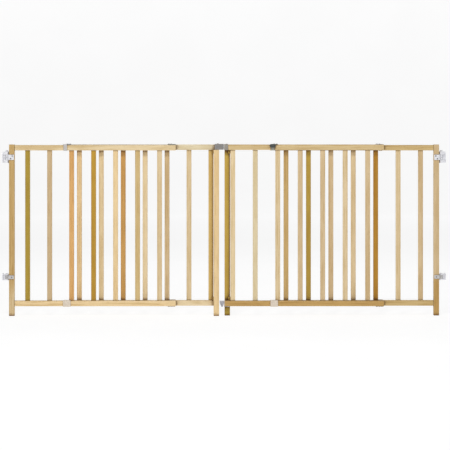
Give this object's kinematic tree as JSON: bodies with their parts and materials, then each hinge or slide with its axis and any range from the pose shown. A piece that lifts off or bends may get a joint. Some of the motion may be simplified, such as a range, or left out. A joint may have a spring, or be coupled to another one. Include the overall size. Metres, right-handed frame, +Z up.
{
  "type": "double-leaf safety gate",
  "caption": "Wide slatted wooden child safety gate: two leaves on wall hinges, each of two panels that slide past each other, with a bolt latch between the meeting stiles.",
  "frame": {"origin": "on the floor, in the middle of the gate's width and of its two panel planes", "axes": "+X along the opening from the left wall to the right wall, -Y the front, +Z up"},
  "size_m": [1.776, 0.0664, 0.691],
  "materials": {
    "wood_cream": "clear satin lacquer over pale beech",
    "wood_sand": "clear satin lacquer over sand-coloured beech",
    "wood_tan": "clear satin lacquer over tan beech",
    "wood_amber": "clear satin lacquer over amber heartwood",
    "wood_brown": "clear satin lacquer over golden brown heartwood",
    "zinc_plate": "bright zinc plate on pressed steel",
    "latch_steel": "nickel plated steel, slightly dulled",
    "latch_plastic": "fine-textured grey moulding",
    "knob_plastic": "dark charcoal moulding, slightly glossy"
  },
  "bodies": {
    "left_wall_mount": {"left_top_wall_bracket": "zinc_plate", "left_bottom_wall_bracket": "zinc_plate"},
    "left_outer_panel": {"left_outer_post": "wood_tan", "left_outer_top_rail": "wood_cream", "left_outer_bottom_rail": "wood_cream", "left_outer_slat_1": "wood_brown", "left_outer_slat_2": "wood_tan", "left_outer_slat_3": "wood_amber", "left_outer_slat_4": "wood_brown", "left_outer_slat_5": "wood_cream", "left_outer_slat_6": "wood_tan", "left_outer_slat_7": "wood_sand", "left_top_hinge_strap": "zinc_plate", "left_bottom_hinge_strap": "zinc_plate", "left_outer_top_clip": "zinc_plate", "left_outer_bottom_clip": "zinc_plate"},
    "left_inner_panel": {"left_inner_stile": "wood_cream", "left_inner_top_rail": "wood_cream", "left_inner_bottom_rail": "wood_sand", "left_inner_slat_1": "wood_sand", "left_inner_slat_2": "wood_tan", "left_inner_slat_3": "wood_cream", "left_inner_slat_4": "wood_amber", "left_inner_slat_5": "wood_sand", "left_inner_slat_6": "wood_sand", "left_inner_top_clip": "zinc_plate", "left_inner_bottom_clip": "zinc_plate", "latch_housing": "latch_plastic"},
    "left_lock_knob": {"left_lock_knob": "knob_plastic"},
    "latch_bolt": {"latch_bolt": "latch_steel"},
    "right_wall_mount": {"right_top_wall_bracket": "zinc_plate", "right_bottom_wall_bracket": "zinc_plate"},
    "right_outer_panel": {"right_outer_post": "wood_tan", "right_outer_top_rail": "wood_tan", "right_outer_bottom_rail": "wood_tan", "right_outer_slat_1": "wood_tan", "right_outer_slat_2": "wood_sand", "right_outer_slat_3": "wood_brown", "right_outer_slat_4": "wood_sand", "right_outer_slat_5": "wood_sand", "right_outer_slat_6": "wood_brown", "right_outer_slat_7": "wood_amber", "right_top_hinge_strap": "zinc_plate", "right_bottom_hinge_strap": "zinc_plate", "right_outer_top_clip": "zinc_plate", "right_outer_bottom_clip": "zinc_plate"},
    "right_inner_panel": {"right_inner_stile": "wood_brown", "right_inner_top_rail": "wood_sand", "right_inner_bottom_rail": "wood_tan", "right_inner_slat_1": "wood_cream", "right_inner_slat_2": "wood_sand", "right_inner_slat_3": "wood_tan", "right_inner_slat_4": "wood_tan", "right_inner_slat_5": "wood_sand", "right_inner_slat_6": "wood_tan", "right_inner_top_clip": "zinc_plate", "right_inner_bottom_clip": "zinc_plate", "latch_strike": "latch_steel", "lower_guide": "zinc_plate"},
    "right_lock_knob": {"right_lock_knob": "knob_plastic"}
  },
  "joints": [
    {"name": "opening_width", "type": "slide", "parent": "left_wall_mount", "child": "right_wall_mount", "axis": [1, 0, 0], "range_m": [-0.298, 0.77]},
    {"name": "left_swing", "type": "hinge", "parent": "left_wall_mount", "child": "left_outer_panel", "pos_m": [-0.8707, -0.012, 0], "axis": [0, 0, 1], "range_deg": [-90, 80]},
    {"name": "right_swing", "type": "hinge", "parent": "right_wall_mount", "child": "right_outer_panel", "pos_m": [0.8707, 0.012, 0], "axis": [0, 0, 1], "range_deg": [-90, 80]},
    {"name": "left_extend", "type": "slide", "parent": "left_outer_panel", "child": "left_inner_panel", "axis": [1, 0, 0], "range_m": [-0.149, 0.385]},
    {"name": "right_extend", "type": "slide", "parent": "right_outer_panel", "child": "right_inner_panel", "axis": [-1, 0, 0], "range_m": [-0.149, 0.385]},
    {"name": "latch_slide", "type": "slide", "parent": "left_inner_panel", "child": "latch_bolt", "axis": [1, 0, 0], "range_m": [0, 0.014]},
    {"name": "left_lock_turn", "type": "hinge", "parent": "left_outer_panel", "child": "left_lock_knob", "pos_m": [-0.2055, 0.0284, 0.6805], "axis": [0, 1, 0], "range_deg": [0, 360]},
    {"name": "right_lock_turn", "type": "hinge", "parent": "right_outer_panel", "child": "right_lock_knob", "pos_m": [0.1935, -0.0284, 0.6805], "axis": [0, -1, 0], "range_deg": [0, 360]}
  ],
  "couplings": [
    {"joint": "left_extend", "follows": "opening_width", "ratio": 0.5},
    {"joint": "right_extend", "follows": "opening_width", "ratio": 0.5}
  ]
}
